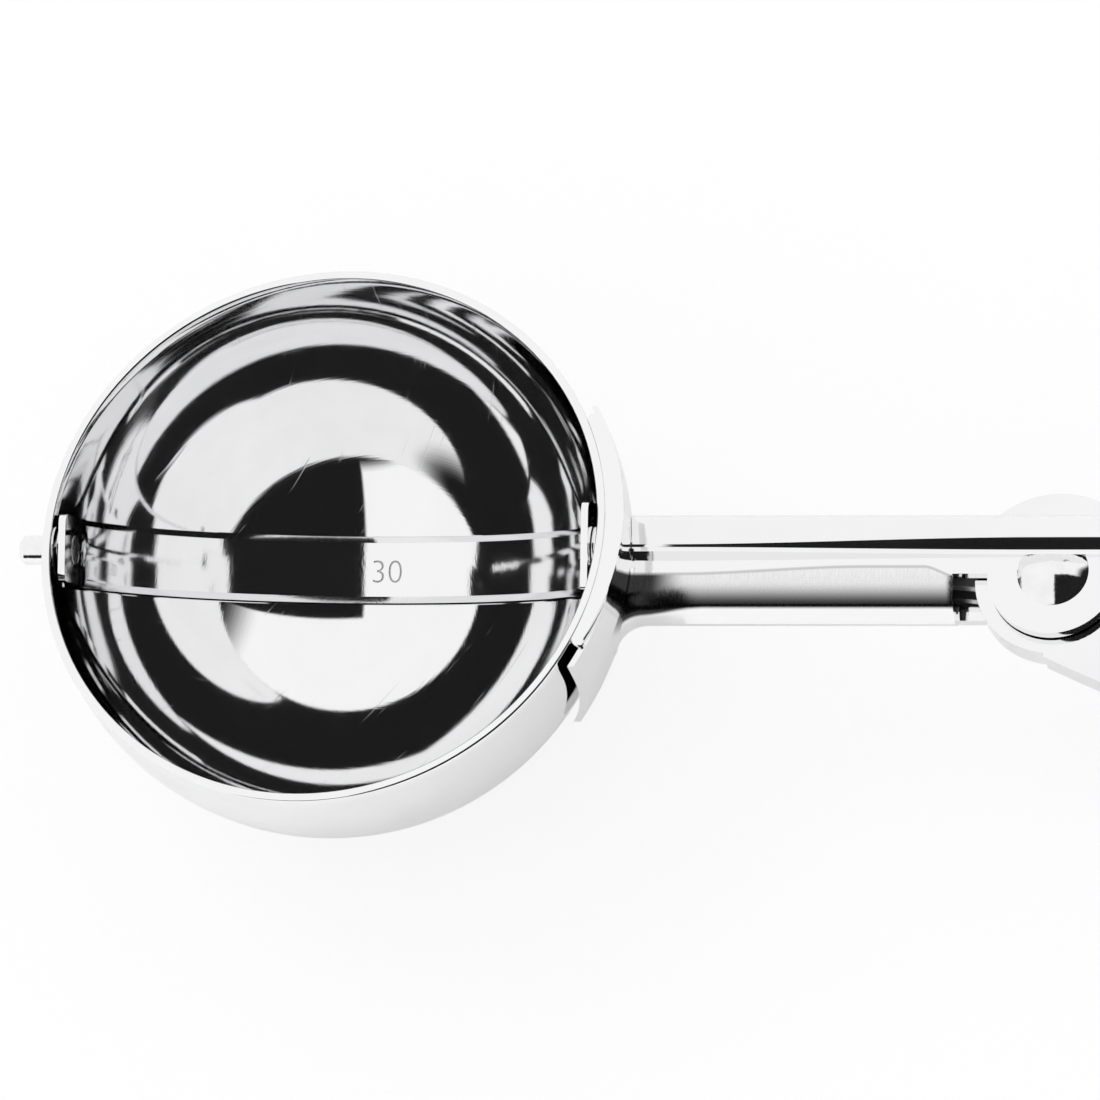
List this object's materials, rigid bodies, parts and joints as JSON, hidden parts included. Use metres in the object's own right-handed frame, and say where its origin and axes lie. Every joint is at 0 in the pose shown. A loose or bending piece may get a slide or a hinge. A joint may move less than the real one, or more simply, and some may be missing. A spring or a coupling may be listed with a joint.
{
  "type": "lever ice cream scoop",
  "caption": "Stainless lever scoop: round bowl with a sweep blade turned by a curved rack and pinion when two sprung channel handles are squeezed.",
  "frame": {"origin": "centre of the bowl's mouth, in the plane of its rim", "axes": "+X along the neck to the handles, +Y across them towards the fixed handle, +Z out of the bowl's mouth"},
  "size_m": [0.215, 0.0601, 0.0265],
  "materials": {
    "polished_steel": "mirror-polished stainless steel, finely scratched inside",
    "housing_steel": "mirror-polished stainless steel",
    "handle_steel": "polished stainless steel, faintly brushed",
    "fork_steel": "stamped stainless steel",
    "blade_steel": "polished spring steel",
    "pin_steel": "turned stainless steel",
    "washer_steel": "turned stainless steel",
    "gear_steel": "stamped stainless steel",
    "rivet_steel": "polished rivet heads",
    "bush_brass": "turned brass",
    "spring_steel": "spring steel leaf"
  },
  "bodies": {
    "scoop": {"bowl": "polished_steel", "neck_housing": "housing_steel", "fixed_handle": "handle_steel", "tip_pin": "pin_steel", "tip_washer": "washer_steel", "shaft_bush": "washer_steel", "rack_rail": "gear_steel", "pivot_rivet": "rivet_steel", "rivet_washer": "washer_steel", "upper_shim": "bush_brass", "lower_shim": "bush_brass", "return_spring": "spring_steel", "spring_rivets": "rivet_steel"},
    "lever": {"lever_handle": "handle_steel", "lever_fork": "fork_steel", "fork_rivet": "rivet_steel", "rack_arm": "gear_steel", "arm_rivets": "rivet_steel", "pivot_bush": "bush_brass"},
    "rack": {"curved_rack": "gear_steel"},
    "blade": {"sweep_blade": "blade_steel", "blade_shaft": "pin_steel", "pinion": "gear_steel"}
  },
  "joints": [
    {"name": "lever_pivot", "type": "hinge", "parent": "scoop", "child": "lever", "pos_m": [0.0568, -0.0007, -0.00835], "axis": [0, 0, 1], "range_deg": [0, 6.4], "stiffness_Nm_per_rad": 2, "springref_deg": -14.32, "deforming": ["return_spring"]},
    {"name": "rack_slide", "type": "hinge", "parent": "scoop", "child": "rack", "pos_m": [0, 0, -0.0075], "axis": [0, 0, 1], "range_deg": [-9.6, 0]},
    {"name": "blade_turn", "type": "hinge", "parent": "scoop", "child": "blade", "pos_m": [0, 0, -0.0033], "axis": [1, 0, 0], "range_deg": [-108, 0]}
  ],
  "couplings": [
    {"joint": "rack_slide", "follows": "lever_pivot", "ratio": -1.4847},
    {"joint": "blade_turn", "follows": "lever_pivot", "ratio": -16.853}
  ]
}
